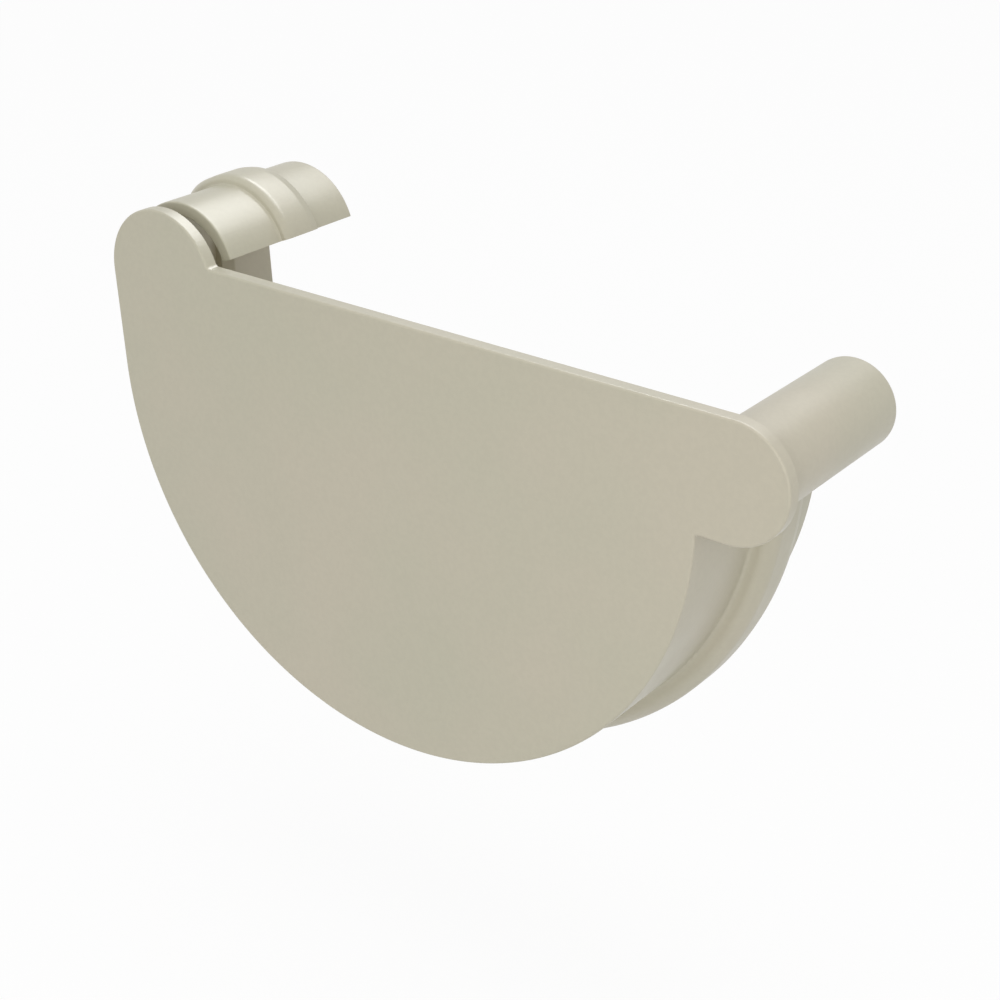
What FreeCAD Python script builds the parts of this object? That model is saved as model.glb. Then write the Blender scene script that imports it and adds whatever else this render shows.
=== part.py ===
import FreeCAD, Part
import os
from math import asin, atan2, cos, hypot, pi, sin
from FreeCAD import Vector

# Half-round gutter end cap, one moulded piece.
# X runs across the gutter towards its front bead, Y runs into the gutter, Z is up.
# The origin is on the gutter's axis, at the back face of the end plate.

# Gutter that the cap closes
gutter_radius = 60.0
gutter_wall = 1.8
bead_offset = 8.1
bead_z = 9.6
rear_roll_radius = 10.0
rear_roll_overhang = 0.9
rear_roll_z = 15.5
fit = 0.3

# Moulding
wall = 2.4
plate_thickness = 2.4
socket_depth = 35.5

# Front bead: spigot inside it, tab of the plate over its end
spigot_radius = 7.9
spigot_wall = 2.0
spigot_lead = 0.3
tab_overlap = 0.2

# Hook over the gutter's rear roll, set back from the plate by an open slot
hook_slot = 3.6
hook_lip_rise = 0.2

# Seal channel that bulges out of the socket wall, with a sloped foot, bevelled shoulders and a tapered groove mouth
seal_start = 16.6
seal_end = 24.9
seal_side_wall = 1.6
seal_rise = 4.0
seal_rise_hook = 1.8
rear_rim = 0.2
foot_length = 0.9
foot_rise = 0.3
foot_rise_hook = 0.8
front_bevel_length = 1.8
front_bevel_share = 0.45
rear_bevel_length = 1.6
rear_bevel_drop = 0.3
groove_taper_length = 2.3
groove_taper_depth = 1.2

# Rounds on the plate's outline
plate_round = 0.4
corner_round = 0.6

# Sizes that follow from the gutter, the fit and the wall
skirt_inner = gutter_radius + fit
skirt_outer = skirt_inner + wall
hook_inner = rear_roll_radius + fit
hook_outer = hook_inner + wall
hook_x = rear_roll_radius - gutter_radius - rear_roll_overhang
hook_z = rear_roll_z
bead_x = gutter_radius + bead_offset
bead_radius = spigot_radius + fit + gutter_wall
tab_radius = bead_radius + tab_overlap
top_z = bead_z + tab_radius
notch_z = bead_z - tab_radius
crotch_angle = asin((top_z - hook_z) / hook_outer)
lip_angle = asin((top_z + hook_lip_rise - hook_z) / hook_outer)
groove_start = seal_start + seal_side_wall
groove_end = seal_end - seal_side_wall
same = 1e-6


def at(x, z, y=0.0):
    return Vector(x, y, z)


def around(x, z, radius, angle, y=0.0):
    return Vector(x + radius * cos(angle), y, z + radius * sin(angle))


def arc(x, z, radius, start, end, y=0.0):
    # Arc in an XZ plane from one angle to another, either way round
    middle = (start + end) / 2
    points = [around(x, z, radius, angle, y) for angle in (start, middle, end)]
    return Part.Arc(*points).toShape()


def line(start, end):
    return Part.LineSegment(start, end).toShape()


def tangent_angle(skirt, hook):
    # Direction of the normal that the half-round and the hook share on their common tangent
    distance = hypot(hook_x, hook_z)
    bearing = atan2(hook_z, hook_x)
    lean = asin((skirt - hook) / distance)
    return bearing + pi / 2 - lean


def socket_path(skirt, hook, y):
    # Front edge, half-round, rear wall on the common tangent, hook, down to the lip
    normal = tangent_angle(skirt, hook)
    front = asin(notch_z / skirt)
    foot = around(0, 0, skirt, normal, y)
    shoulder = around(hook_x, hook_z, hook, normal, y)
    half_round = arc(0, 0, skirt, 2 * pi + front, normal, y)
    crook = arc(hook_x, hook_z, hook, normal, lip_angle, y)
    return [half_round, line(foot, shoulder), crook]


def outline(outer, inner, y):
    # Closed wire between two socket paths, each given as its half-round and hook radii
    outside = socket_path(*outer, y)
    inside = socket_path(*inner, y)
    lip = line(outside[2].Vertexes[-1].Point, inside[2].Vertexes[-1].Point)
    edge = line(inside[0].Vertexes[0].Point, outside[0].Vertexes[0].Point)
    return Part.Wire(Part.__sortEdges__(outside + inside + [lip, edge]))


def band(outer, inner, start, end):
    # Wall between two socket paths, from one depth to another
    return Part.Face(outline(outer, inner, start)).extrude(Vector(0, end - start, 0))


def taper(outer, inner, start, end):
    # Wedge whose two paths move from one depth to another, each given as its radii at the start and the end
    return Part.makeLoft([outline(outer[0], inner[0], start), outline(outer[1], inner[1], end)], True, True)


def raised(radii, rise, rise_hook):
    return radii[0] + rise, radii[1] + rise_hook


def lifted(radii, rise):
    return raised(radii, rise, rise)


def socket():
    # Skirt and hook in three bands: front, seal channel with its groove, rear
    inner = (skirt_inner, hook_inner)
    front = (skirt_outer, hook_outer)
    rear = lifted(front, rear_rim)
    front_band = band(front, inner, -plate_thickness / 2, seal_start)
    rear_band = band(rear, inner, seal_end, socket_depth)
    walls = front_band.fuse([channel(front, inner), rear_band])
    return walls.cut([groove(inner), hook_gap()])


def channel(front, inner):
    # Raised band round the seal, both shoulders bevelled, on a sloped foot
    crest = raised(front, seal_rise, seal_rise_hook)
    clear = (lifted(crest, wall), lifted(crest, wall))
    front_shoulder = (raised(crest, -front_bevel_share * seal_rise, -front_bevel_share * seal_rise_hook), crest)
    rear_shoulder = (crest, lifted(crest, -rear_bevel_drop))
    bulge = band(crest, inner, seal_start, seal_end).cut([
        taper(clear, front_shoulder, seal_start, seal_start + front_bevel_length),
        taper(clear, rear_shoulder, seal_end - rear_bevel_length, seal_end),
    ])
    foot_top = raised(front, foot_rise, foot_rise_hook)
    foot = taper((front, foot_top), (inner, inner), seal_start - foot_length, seal_start)
    return bulge.fuse(foot)


def groove(inner):
    # Seat of the seal, open to the inside, with a tapered mouth towards the rear
    clear = lifted(inner, -fit)
    core = lifted(clear, -fit)
    seat = band(raised(inner, seal_rise, seal_rise_hook), clear, groove_start, groove_end)
    mouth = (lifted(inner, groove_taper_depth), clear)
    mouth_end = groove_end + groove_taper_length * (groove_taper_depth + fit) / groove_taper_depth
    return seat.fuse(taper(mouth, (core, core), groove_end, mouth_end))


def hook_gap():
    # Slot that frees the hook from the plate, down to the level of the hook's axis
    reach = 2 * hook_outer
    return Part.makeBox(2 * reach, hook_slot, reach, at(hook_x - reach, hook_z))


def end_plate():
    # Half disc with a round tab over the front bead and a lobe over the hook
    normal = tangent_angle(skirt_outer, hook_outer)
    front = asin(notch_z / skirt_outer)
    y = -plate_thickness
    notch = around(0, 0, skirt_outer, front, y)
    crotch = around(hook_x, hook_z, hook_outer, crotch_angle, y)
    edges = [
        arc(0, 0, skirt_outer, normal, 2 * pi + front, y),
        line(notch, at(bead_x, notch_z, y)),
        arc(bead_x, bead_z, tab_radius, -pi / 2, pi / 2, y),
        line(at(bead_x, top_z, y), crotch),
        arc(hook_x, hook_z, hook_outer, crotch_angle, normal, y),
        line(around(hook_x, hook_z, hook_outer, normal, y), around(0, 0, skirt_outer, normal, y)),
    ]
    wire = Part.Wire(Part.__sortEdges__(edges))
    plate = Part.Face(wire).extrude(Vector(0, plate_thickness, 0))
    corners = [edge for edge in plate.Edges if starts_at(edge, notch) or starts_at(edge, crotch)]
    plate = plate.makeFillet(corner_round, corners)
    rim = [edge for edge in plate.Edges if max(vertex.Y for vertex in edge.Vertexes) < y + same]
    return plate.makeFillet(plate_round, rim)


def starts_at(edge, point):
    # True for the edge through the plate's thickness at one corner of its outline
    ends = [vertex.Point for vertex in edge.Vertexes]
    through = abs(ends[0].y - ends[-1].y) > same
    return through and min(end.distanceToPoint(point) for end in ends) < same


def spigot():
    # Hollow round peg for the inside of the gutter's bead, with a lead at its open end
    into = Vector(0, 1, 0)
    base = at(bead_x, bead_z, -plate_thickness / 2)
    peg = Part.makeCylinder(spigot_radius, socket_depth + plate_thickness / 2, base, into)
    open_end = [edge for edge in peg.Edges if min(vertex.Y for vertex in edge.Vertexes) > socket_depth - same]
    peg = peg.makeChamfer(spigot_lead, open_end)
    bore = Part.makeCylinder(spigot_radius - spigot_wall, socket_depth, at(bead_x, bead_z), into)
    return peg, bore


def end_cap():
    peg, bore = spigot()
    return socket().fuse([end_plate(), peg]).cut(bore).removeSplitter()


os.makedirs("parts", exist_ok=True)
cap = end_cap()
cap.exportStep("parts/end_cap.step")
print("end_cap volume", round(cap.Volume), "mm3, solids", len(cap.Solids), "valid", cap.isValid())
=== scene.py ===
import math

import bmesh
import bpy
import numpy as np
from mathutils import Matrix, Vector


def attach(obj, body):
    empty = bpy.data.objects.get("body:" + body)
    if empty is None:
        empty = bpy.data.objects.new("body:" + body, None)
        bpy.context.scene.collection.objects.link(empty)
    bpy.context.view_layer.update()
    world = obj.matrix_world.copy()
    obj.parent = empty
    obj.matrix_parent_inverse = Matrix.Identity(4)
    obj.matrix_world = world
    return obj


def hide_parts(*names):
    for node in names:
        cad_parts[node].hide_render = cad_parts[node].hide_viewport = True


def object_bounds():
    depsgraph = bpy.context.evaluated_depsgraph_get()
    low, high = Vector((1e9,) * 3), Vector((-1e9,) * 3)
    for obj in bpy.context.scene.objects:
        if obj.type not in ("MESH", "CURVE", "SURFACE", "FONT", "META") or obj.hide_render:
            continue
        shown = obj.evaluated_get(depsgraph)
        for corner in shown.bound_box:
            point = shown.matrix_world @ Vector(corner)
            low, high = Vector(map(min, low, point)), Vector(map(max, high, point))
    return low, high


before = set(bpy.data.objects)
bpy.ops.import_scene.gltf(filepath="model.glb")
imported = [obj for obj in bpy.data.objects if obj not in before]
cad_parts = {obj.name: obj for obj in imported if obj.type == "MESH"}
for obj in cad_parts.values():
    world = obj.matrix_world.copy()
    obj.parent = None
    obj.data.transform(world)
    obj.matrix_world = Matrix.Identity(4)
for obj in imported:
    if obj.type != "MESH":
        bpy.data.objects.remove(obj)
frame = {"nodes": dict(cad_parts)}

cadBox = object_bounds()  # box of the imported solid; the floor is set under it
scene = bpy.context.scene
mm = 0.001
print("frame loaded:", ", ".join(frame["nodes"]))

# Gutter that the cap closes and the wall moulded round it, in millimetres
cap = {
    "gutterRadius": 60.0,
    "fit": 0.3,
    "wall": 2.4,
    "depth": 35.5,
    "plate": 2.4,
    "beadOffset": 8.1,
    "beadHeight": 9.6,
    "tabRadius": 10.2,
    "rollRadius": 10.0,
    "rollOverhang": 0.9,
    "rollHeight": 15.5,
    "lipRise": 0.2,     # lip of the hook above the plate's top edge
    "sink": 0.9,        # how far the wall and the spigot reach into the plate
    "flushGap": 0.03,   # keeps the wall's skin just under the plate's rim where it is sunk
}
skirtInner = cap["gutterRadius"] + cap["fit"]
skirtOuter = skirtInner + cap["wall"]
hookInner = cap["rollRadius"] + cap["fit"]
hookOuter = hookInner + cap["wall"]
gutterAxis = np.array([0.0, 0.0])  # x and z of each axis that runs along the gutter
hookAxis = np.array([cap["rollRadius"] - cap["gutterRadius"] - cap["rollOverhang"], cap["rollHeight"]])
beadAxis = np.array([cap["gutterRadius"] + cap["beadOffset"], cap["beadHeight"]])
notchHeight = cap["beadHeight"] - cap["tabRadius"]
topHeight = cap["beadHeight"] + cap["tabRadius"]
crotchAngle = math.asin((topHeight - cap["rollHeight"]) / hookOuter)
lipAngle = math.asin((topHeight + cap["lipRise"] - cap["rollHeight"]) / hookOuter)


def onCircle(centre, radius, angle):
    # Centre plus radius times cosine and sine, for x and z
    return np.stack([centre[0] + radius * np.cos(angle), centre[1] + radius * np.sin(angle)], axis=-1)


def tangentAngle(skirt, hook):
    # Bearing of the hook plus a quarter turn, less a lean:
    # the arcsine of the radii's difference over the distance between the axes
    lean = np.arcsin((skirt - hook) / np.hypot(*hookAxis))
    return math.atan2(hookAxis[1], hookAxis[0]) + math.pi / 2 - lean


def unit(vectors):
    return vectors / np.linalg.norm(vectors, axis=-1, keepdims=True)


def roundedLine(points, trims, steps):
    # Each inner corner becomes a parabola from one side to the other, trimmed back by its own length
    corner = points[1:-1]
    trims = np.asarray(trims)[:, None]
    start = corner + unit(points[:-2] - corner) * trims
    end = corner + unit(points[2:] - corner) * trims
    t = np.linspace(0, 1, steps + 1)[None, :, None]
    curve = (1 - t) ** 2 * start[:, None] + 2 * t * (1 - t) * corner[:, None] + t ** 2 * end[:, None]
    return curve.reshape(-1, points.shape[1])


def roundedLoop(points, trims, steps):
    return roundedLine(np.vstack([points[-1:], points, points[:1]]), trims, steps)


def insetLoop(loop, distance):
    # Each point of an anticlockwise loop moves to the left of the mean of its two sides' directions
    side = unit(np.roll(loop, -1, axis=0) - loop)
    along = unit(side + np.roll(side, 1, axis=0))
    return loop + distance * np.stack([-along[:, 1], along[:, 0]], axis=-1)


def closedGrid(rows):
    # Quads between neighbouring rows of points, closed across the columns, with a face over each end row
    rowCount, columnCount = rows.shape[:2]
    index = np.arange(rowCount * columnCount).reshape(rowCount, columnCount)
    beside = np.roll(index, -1, axis=1)
    quads = np.stack([index[:-1], beside[:-1], beside[1:], index[1:]], axis=-1).reshape(-1, 4)
    return quads.tolist() + [index[0].tolist(), index[-1].tolist()]


mend = {"doubled": 0.0005, "flat": 0.0002}  # points and edges nearer than this, in millimetres, are merged


def shellObject(name, rows):
    # Mesh of one closed shell, in metres, with doubled points merged and its faces turned outwards
    mesh = bpy.data.meshes.new(name)
    mesh.from_pydata((rows.reshape(-1, 3) * mm).tolist(), [], closedGrid(rows))
    shell = bmesh.new()
    shell.from_mesh(mesh)
    bmesh.ops.remove_doubles(shell, verts=shell.verts, dist=mend["doubled"] * mm)
    bmesh.ops.dissolve_degenerate(shell, edges=shell.edges, dist=mend["flat"] * mm)
    bmesh.ops.recalc_face_normals(shell, faces=shell.faces)
    shell.to_mesh(mesh)
    shell.free()
    piece = bpy.data.objects.new(name, mesh)
    scene.collection.objects.link(piece)
    print(name, len(mesh.vertices), "points,", len(mesh.polygons), "faces")
    return piece


# Plate: half disc with a tab over the bead's end and a lobe in front of the hook
plate = {
    "frontRound": 0.4,
    "cornerRound": 0.6,
    "roundSteps": 5,
    "arcSteps": 180,
    "tabSteps": 48,
    "lobeSteps": 56,
}


def plateOutline():
    # Arcs about the axes of the gutter, the bead and the hook, joined by straight lines,
    # with a parabola in each of the two corners
    corner = plate["cornerRound"]
    short = 2 * corner  # the arcs stop this far before a corner
    rise = tangentAngle(skirtOuter, hookOuter)
    front = math.asin(notchHeight / skirtOuter)
    notch = onCircle(gutterAxis, skirtOuter, front)
    crotch = onCircle(hookAxis, hookOuter, crotchAngle)
    halfRound = onCircle(gutterAxis, skirtOuter, np.linspace(
        rise, 2 * math.pi + front - short / skirtOuter, plate["arcSteps"]))
    tab = onCircle(beadAxis, cap["tabRadius"], np.linspace(-math.pi / 2, math.pi / 2, plate["tabSteps"]))
    lobe = onCircle(hookAxis, hookOuter, np.linspace(
        crotchAngle + short / hookOuter, rise, plate["lobeSteps"]))
    notchRound = roundedLine(np.vstack([halfRound[-1:], notch[None], tab[:1]]), [corner], plate["roundSteps"])
    crotchRound = roundedLine(np.vstack([tab[-1:], crotch[None], lobe[:1]]), [corner], plate["roundSteps"])
    return np.vstack([halfRound, notchRound, tab, crotchRound, lobe])


def plateRows():
    # The outline is inset by the front round times one less sine, at depths that follow the cosine,
    # and then runs straight back
    outline = plateOutline()
    turn = np.linspace(0, math.pi / 2, plate["roundSteps"] + 1)
    inset = np.append(plate["frontRound"] * (1 - np.sin(turn)), 0)
    depth = np.append(plate["frontRound"] * (1 - np.cos(turn)), cap["plate"]) - cap["plate"]
    loops = np.stack([insetLoop(outline, distance) for distance in inset])
    depths = np.broadcast_to(depth[:, None], loops.shape[:2])
    return np.stack([loops[..., 0], depths, loops[..., 1]], axis=-1)


# Wall: band behind the plate, seal channel with its groove, rear rim, and the hook clear of the plate
wall = {
    "slot": 3.6,                 # the hook stands this far from the plate
    "sealStart": 16.6,
    "sealEnd": 24.9,
    "sealSide": 1.6,
    "rise": (4.0, 1.8),          # on the half-round and on the hook
    "rearRim": 0.2,
    "frontBevel": (1.8, 0.9),    # length on the half-round and on the hook
    "bevelShare": 0.45,          # drop of the bevel as a share of the rise
    "rearBevel": (1.6, 0.3),     # length and drop
    "mouth": (2.3, 1.2),         # length and depth of the groove's tapered mouth
    "shoulderRise": 1.2,         # more rise where the hook leaves the rear wall
    "shoulderEnds": (115, 150),  # degrees round the hook between which it fades in
    "footRound": 0.9,            # fillet where the channel rises from the wall
    "bevelRound": 0.6,
    "crestRound": 0.9,
    "rearRound": 0.2,
    "rimRound": 0.3,
    "mouthRound": 0.3,
    "grooveRound": 0.2,
    "floorRound": 0.3,
    "lipRound": 0.25,
    "edgeRound": 0.3,
    "roundSteps": 4,
    "halfSteps": 150,
    "straightSteps": 6,
    "hookSteps": 60,
}


def wallSection(start):
    # Corners of the section as two depths and two radii, each on the half-round and on the hook, with a trim
    inner = np.array([skirtInner, hookInner])
    front = inner + cap["wall"]
    rear = front + wall["rearRim"]
    rise = np.array(wall["rise"])
    crest = front + rise
    crestStart = wall["sealStart"] + np.array(wall["frontBevel"])
    bevelLength, bevelDrop = wall["rearBevel"]
    grooveFloor = inner + rise
    grooveStart = wall["sealStart"] + wall["sealSide"]
    grooveEnd = wall["sealEnd"] - wall["sealSide"]
    mouthLength, mouthDepth = wall["mouth"]
    edge = wall["edgeRound"]
    behindSlot = wall["slot"] + 2 * edge
    corners = [
        (start, front - cap["flushGap"], edge),
        (behindSlot, front, 0.0),
        (wall["sealStart"], front, wall["footRound"]),
        (wall["sealStart"], crest - wall["bevelShare"] * rise, wall["bevelRound"]),
        (crestStart, crest, wall["crestRound"]),
        (wall["sealEnd"] - bevelLength, crest, wall["rearRound"]),
        (wall["sealEnd"], crest - bevelDrop, wall["rearRound"]),
        (wall["sealEnd"], rear, wall["rimRound"]),
        (cap["depth"], rear, edge),
        (cap["depth"], inner, edge),
        (grooveEnd + mouthLength, inner, wall["mouthRound"]),
        (grooveEnd, inner + mouthDepth, wall["grooveRound"]),
        (grooveEnd, grooveFloor, wall["grooveRound"]),
        (grooveStart, grooveFloor, wall["floorRound"]),
        (grooveStart, inner, wall["lipRound"]),
        (behindSlot, inner, 0.0),
        (start, inner, edge),
    ]
    points = np.array([(*np.broadcast_to(depth, 2), *radii) for depth, radii, trim in corners])
    # Depth and radius are both held twice, so a length along the section is root two longer there
    trims = [trim * math.sqrt(2) for depth, radii, trim in corners]
    return roundedLoop(points, trims, wall["roundSteps"])


def carried(section, half, straight, crook):
    # Each point of the section follows the half-round, the common tangent and the hook at its own two radii:
    # shares of the turn about the gutter's axis, of the straight run, then of the turn about the hook's axis.
    # Round the hook, on a smooth step of the angle, the raised points fall from the shoulder's radius
    # to their own, and the depths pass from those of the half-round to those of the hook
    skirtDepth, hookDepth, skirt, hook = section.T
    raised = np.clip((hook - hookOuter) / wall["rise"][1], 0, 1)
    start = hook + wall["shoulderRise"] * raised
    rise = tangentAngle(skirt, start)
    front = 2 * math.pi + np.arcsin(notchHeight / skirt)
    foot = onCircle(gutterAxis, skirt, rise)
    shoulder = onCircle(hookAxis, start, rise)
    turn = rise + (lipAngle - rise) * crook[:, None]
    fadeStart, fadeEnd = np.radians(wall["shoulderEnds"])
    fade = np.clip((turn - fadeStart) / (fadeEnd - fadeStart), 0, 1)
    fade = fade ** 2 * (3 - 2 * fade)
    runs = np.concatenate([
        onCircle(gutterAxis, skirt, front + (rise - front) * half[:, None]),
        foot + (shoulder - foot) * straight[:, None, None],
        onCircle(hookAxis, hook + (start - hook) * fade, turn),
    ])
    before = np.broadcast_to(skirtDepth, (len(half) + len(straight), len(section)))
    depths = np.vstack([before, hookDepth + (skirtDepth - hookDepth) * fade])
    return np.stack([runs[..., 0], depths, runs[..., 1]], axis=-1)


def wallRows():
    # One section up to the slot's floor, level with the hook's axis, then one that starts behind the slot
    none = np.zeros(0)
    half = np.linspace(0, 1, wall["halfSteps"] + 1)
    straight = np.linspace(0, 1, wall["straightSteps"] + 1)[1:]
    rise = tangentAngle(skirtOuter, hookOuter)
    floorShare = (math.pi - rise) / (lipAngle - rise)
    beyond = np.linspace(floorShare, 1, wall["hookSteps"] + 1)
    lower = carried(wallSection(-cap["sink"]), half, straight, beyond[:1])
    upper = carried(wallSection(wall["slot"]), none, none, beyond)
    return np.concatenate([lower, upper])


wallPiece = shellObject("wall", wallRows())
platePiece = shellObject("plate", plateRows())

# Spigot: hollow round peg that plugs into the gutter's bead
spigot = {
    "radius": 7.9,
    "bore": 5.9,
    "boreFloor": 0.2,
    "lead": 0.4,
    "edgeRound": 0.3,
    "roundSteps": 4,
    "turnSteps": 96,
}


def spigotRows():
    # A profile of radius and depth turned once about the bead's axis.
    # Its last point only gives the bore's floor a direction
    profile = np.array([
        (spigot["radius"], -cap["sink"]),
        (spigot["radius"], cap["depth"]),
        (spigot["bore"], cap["depth"]),
        (spigot["bore"], spigot["boreFloor"]),
        (spigot["bore"] / 2, spigot["boreFloor"]),
    ])
    trims = [spigot["lead"], spigot["edgeRound"], spigot["edgeRound"]]
    profile = np.vstack([profile[:1], roundedLine(profile, trims, spigot["roundSteps"])])
    turn = np.linspace(0, 2 * math.pi, spigot["turnSteps"], endpoint=False)
    rings = onCircle(beadAxis, profile[:, :1], turn)
    depths = np.broadcast_to(profile[:, 1:], rings.shape[:2])
    return np.stack([rings[..., 0], depths, rings[..., 1]], axis=-1)


spigotPiece = shellObject("spigot", spigotRows())

# The three shells become one moulding
moulding = {"name": "endCap", "sharpAngle": 32.0}


def joined(base, others):
    # Union of the base with each other shell, made a mesh of its own
    for other in others:
        union = base.modifiers.new("join " + other.name, "BOOLEAN")
        union.operation = "UNION"
        union.solver = "EXACT"
        union.object = other
    evaluated = base.evaluated_get(bpy.context.evaluated_depsgraph_get())
    mesh = bpy.data.meshes.new_from_object(evaluated)
    for shell in (base, *others):
        bpy.data.objects.remove(shell)
    return mesh


mesh = joined(platePiece, [wallPiece, spigotPiece])
mesh.name = moulding["name"]
mesh.polygons.foreach_set("use_smooth", np.ones(len(mesh.polygons), bool))
mesh.set_sharp_from_angle(angle=math.radians(moulding["sharpAngle"]))
endCap = bpy.data.objects.new(moulding["name"], mesh)
scene.collection.objects.link(endCap)
evenNormals = endCap.modifiers.new("even normals", "WEIGHTED_NORMAL")
evenNormals.keep_sharp = True
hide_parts("end_cap")
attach(endCap, "root")
print("moulding", len(mesh.vertices), "points,", len(mesh.polygons), "faces")

# Plastic: rigid vinyl straight from the mould, a warm grey with a satin skin
plastic = {
    "warm": (0.540, 0.500, 0.396),   # two tints of one grey, where the melt has clouded a little
    "cool": (0.514, 0.492, 0.384),
    "clouds": (24.0, 2),             # waves to the metre and detail of each noise
    "specks": (1100.0, 1),
    "patches": (140.0, 3),
    "grain": (2400.0, 2),
    "middle": (0.35, 0.65),          # where most values of a noise lie
    "speckDepth": 0.012,
    "roughness": (0.34, 0.40),
    "pull": 0.07,                    # grain is drawn out along the way the mould opens
    "grainHeight": 0.000014,
    "ior": 1.42,
}


def link(tree, fromNode, fromSocket, toNode, toSocket):
    tree.links.new(fromNode.outputs[fromSocket], toNode.inputs[toSocket])


def noise(tree, coordinates, scale, detail):
    # Noise on the cap's own coordinates, so many waves to the metre
    texture = tree.nodes.new("ShaderNodeTexNoise")
    texture.inputs["Scale"].default_value = scale
    texture.inputs["Detail"].default_value = detail
    tree.links.new(coordinates, texture.inputs["Vector"])
    return texture


def spread(tree, texture, low, high):
    # Stretches the middle of a noise to run from low to high
    reach = tree.nodes.new("ShaderNodeMapRange")
    reach.inputs["From Min"].default_value, reach.inputs["From Max"].default_value = plastic["middle"]
    reach.inputs["To Min"].default_value = low
    reach.inputs["To Max"].default_value = high
    link(tree, texture, "Fac", reach, "Value")
    return reach


def plasticMaterial():
    material = bpy.data.materials.new("mouldedVinyl")
    material.use_nodes = True
    tree = material.node_tree
    skin = tree.nodes["Principled BSDF"]
    skin.inputs["IOR"].default_value = plastic["ior"]
    place = tree.nodes.new("ShaderNodeTexCoord").outputs["Object"]

    # Colour: broad clouds between the two tints, then fine specks of light and dark
    tint = tree.nodes.new("ShaderNodeMix")
    tint.data_type = "RGBA"
    tint.inputs["A"].default_value = (*plastic["cool"], 1)
    tint.inputs["B"].default_value = (*plastic["warm"], 1)
    clouds = noise(tree, place, *plastic["clouds"])
    link(tree, spread(tree, clouds, 0, 1), "Result", tint, "Factor")
    specked = tree.nodes.new("ShaderNodeHueSaturation")
    link(tree, tint, "Result", specked, "Color")
    specks = noise(tree, place, *plastic["specks"])
    shades = spread(tree, specks, 1 - plastic["speckDepth"], 1 + plastic["speckDepth"])
    link(tree, shades, "Result", specked, "Value")
    link(tree, specked, "Color", skin, "Base Color")

    # Sheen: patches a few millimetres wide, a little duller and a little brighter
    patches = noise(tree, place, *plastic["patches"])
    link(tree, spread(tree, patches, *plastic["roughness"]), "Result", skin, "Roughness")

    # Grain: the mould's fine texture, drawn out where the wall slid along the steel
    drawn = tree.nodes.new("ShaderNodeMapping")
    drawn.inputs["Scale"].default_value = (1, plastic["pull"], 1)
    tree.links.new(place, drawn.inputs["Vector"])
    grain = tree.nodes.new("ShaderNodeBump")
    grain.inputs["Distance"].default_value = plastic["grainHeight"]
    link(tree, noise(tree, drawn.outputs["Vector"], *plastic["grain"]), "Fac", grain, "Height")
    link(tree, grain, "Normal", skin, "Normal")
    return material


mesh.materials.clear()
mesh.materials.append(plasticMaterial())
print("plastic:", mesh.materials[0].name)

# Floor and room: white paper under the cap, white all round
room = {
    "floorGap": 0.045,
    "floorSize": 4.0,
    "paper": 0.62,        # what the floor sends back up to the cap
    "seenPaper": 0.95,    # what the camera sees of it, under the glow that makes it white
    "paperGlow": 0.90,
    "worldLight": 0.73,
    "seenWorld": 0.97,    # as white as the far end of the floor
}


def grey(level):
    return (level, level, level, 1)


def seenRays(tree):
    # One for camera, glossy and transmission rays, nought for the rays that only light the cap
    path = tree.nodes.new("ShaderNodeLightPath")
    first = tree.nodes.new("ShaderNodeMath")
    second = tree.nodes.new("ShaderNodeMath")
    first.operation = "MAXIMUM"
    second.operation = "MAXIMUM"
    link(tree, path, "Is Camera Ray", first, 0)
    link(tree, path, "Is Glossy Ray", first, 1)
    link(tree, first, "Value", second, 0)
    link(tree, path, "Is Transmission Ray", second, 1)
    return second


def floorPiece():
    # A flat square, level, a little way under the lowest point of the cap
    half = room["floorSize"] / 2
    level = cadBox[0].z - room["floorGap"]
    corners = [(-half, -half, level), (half, -half, level), (half, half, level), (-half, half, level)]
    sheet = bpy.data.meshes.new("floor")
    sheet.from_pydata(corners, [], [(0, 1, 2, 3)])
    piece = bpy.data.objects.new("floor", sheet)
    scene.collection.objects.link(piece)
    material = bpy.data.materials.new("paper")
    material.use_nodes = True
    tree = material.node_tree
    tree.nodes.clear()
    paper = tree.nodes.new("ShaderNodeBsdfDiffuse")
    paper.inputs["Color"].default_value = grey(room["paper"])
    seenPaper = tree.nodes.new("ShaderNodeBsdfDiffuse")
    seenPaper.inputs["Color"].default_value = grey(room["seenPaper"])
    glow = tree.nodes.new("ShaderNodeEmission")
    glowing = tree.nodes.new("ShaderNodeMixShader")
    glowing.inputs[0].default_value = room["paperGlow"]
    mix = tree.nodes.new("ShaderNodeMixShader")
    output = tree.nodes.new("ShaderNodeOutputMaterial")
    link(tree, seenPaper, "BSDF", glowing, 1)
    link(tree, glow, "Emission", glowing, 2)
    link(tree, seenRays(tree), "Value", mix, 0)
    link(tree, paper, "BSDF", mix, 1)
    link(tree, glowing, "Shader", mix, 2)
    link(tree, mix, "Shader", output, "Surface")
    sheet.materials.append(material)


def whiteRoom():
    world = bpy.data.worlds.new("room")
    world.use_nodes = True
    tree = world.node_tree
    tree.nodes.clear()
    light = tree.nodes.new("ShaderNodeBackground")
    light.inputs["Color"].default_value = grey(1)
    light.inputs["Strength"].default_value = room["worldLight"]
    white = tree.nodes.new("ShaderNodeBackground")
    white.inputs["Color"].default_value = grey(1)
    white.inputs["Strength"].default_value = room["seenWorld"]
    mix = tree.nodes.new("ShaderNodeMixShader")
    output = tree.nodes.new("ShaderNodeOutputWorld")
    link(tree, seenRays(tree), "Value", mix, 0)
    link(tree, light, "Background", mix, 1)
    link(tree, white, "Background", mix, 2)
    link(tree, mix, "Shader", output, "Surface")
    scene.world = world


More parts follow.
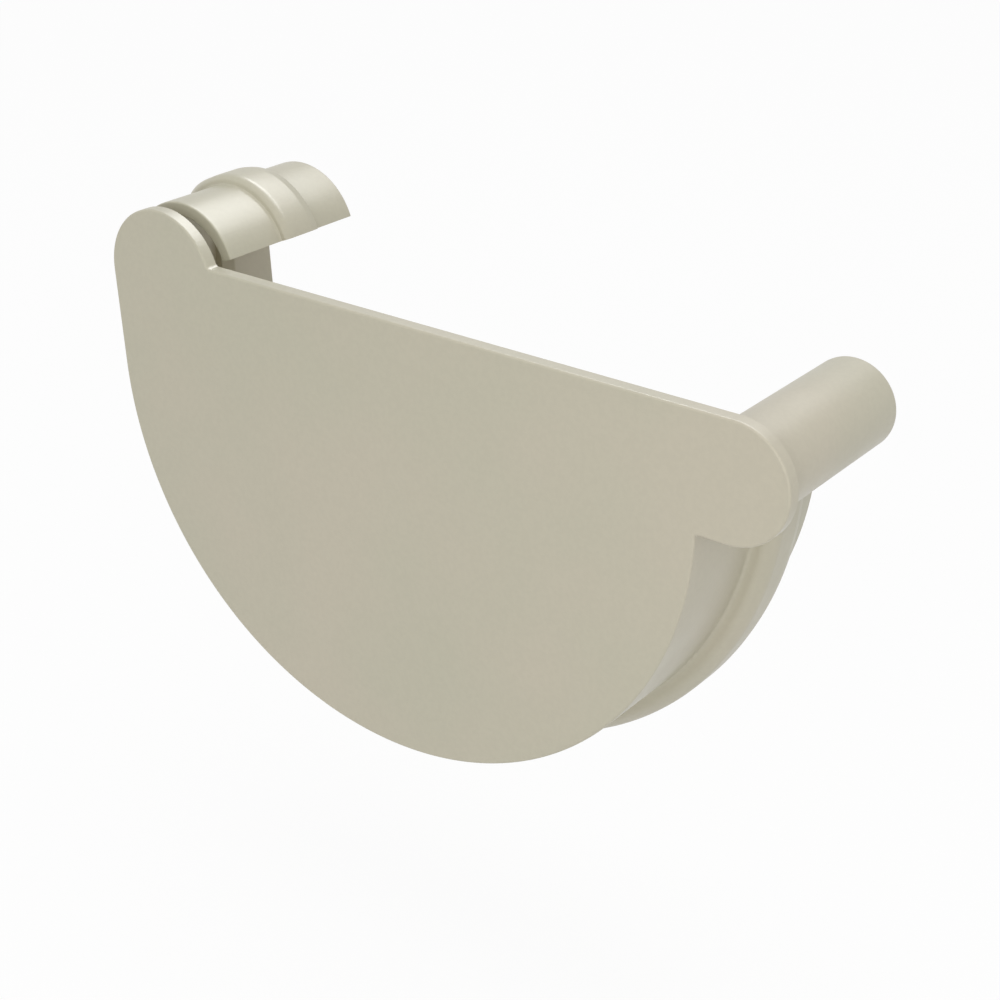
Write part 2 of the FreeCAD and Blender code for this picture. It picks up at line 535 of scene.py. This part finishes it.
floorPiece()
whiteRoom()
print("floor and room set")

# Soft boxes: place, what they face, width and height in metres, and radiance, where 1 is white
lamps = {
    "topBox": {"at": (0.05, 0.0, 1.0), "towards": (0.0, 0.0, 0.0), "size": (0.7, 0.7), "radiance": 1.1},
    "frontBox": {"at": (0.1, -0.99, 0.1), "towards": (0.0, 0.0, 0.0), "size": (0.7, 0.7), "radiance": 0.75},
    "nearBox": {"at": (0.32, -0.36, 0.09), "towards": (0.0, 0.0, 0.0), "size": (0.26, 0.26), "radiance": 2.4},
    "backBox": {"at": (-0.05, 0.35, 0.55), "towards": (-0.045, 0.015, 0.026), "size": (0.66, 0.16),
                "radiance": 21.0},
}
glossOnly = ["backBox"]  # shines on the satin skin but adds no light to the colour


def softBox(name, lamp):
    # Power is radiance times pi times area
    data = bpy.data.lights.new(name, "AREA")
    data.shape = "RECTANGLE"
    data.size, data.size_y = lamp["size"]
    data.energy = lamp["radiance"] * math.pi * data.size * data.size_y
    box = bpy.data.objects.new(name, data)
    scene.collection.objects.link(box)
    aim = np.array(lamp["towards"]) - np.array(lamp["at"])
    box.location = lamp["at"]
    box.visible_diffuse = name not in glossOnly
    box.rotation_euler = (math.atan2(math.hypot(aim[0], aim[1]), -aim[2]), 0, math.atan2(-aim[0], aim[1]))


for name, lamp in lamps.items():
    softBox(name, lamp)
print("lamps:", ", ".join(lamps))

# Camera at the photograph's angle
view = {
    "at": (0.19151, -0.21818, 0.12856),
    "turn": 37.5214,     # degrees from straight on
    "height": 26.2719,   # degrees above the horizon
    "lens": 67.275,
    "sensor": 36.0,
    "near": 0.01,
}
cameraData = bpy.data.cameras.new("camera")
cameraData.lens = view["lens"]
cameraData.sensor_width = view["sensor"]
cameraData.clip_start = view["near"]
camera = bpy.data.objects.new("camera", cameraData)
camera.location = view["at"]
camera.rotation_euler = (math.radians(90 - view["height"]), 0, math.radians(view["turn"]))
scene.collection.objects.link(camera)
scene.camera = camera
scene.view_settings.view_transform = "Standard"
print("camera set")
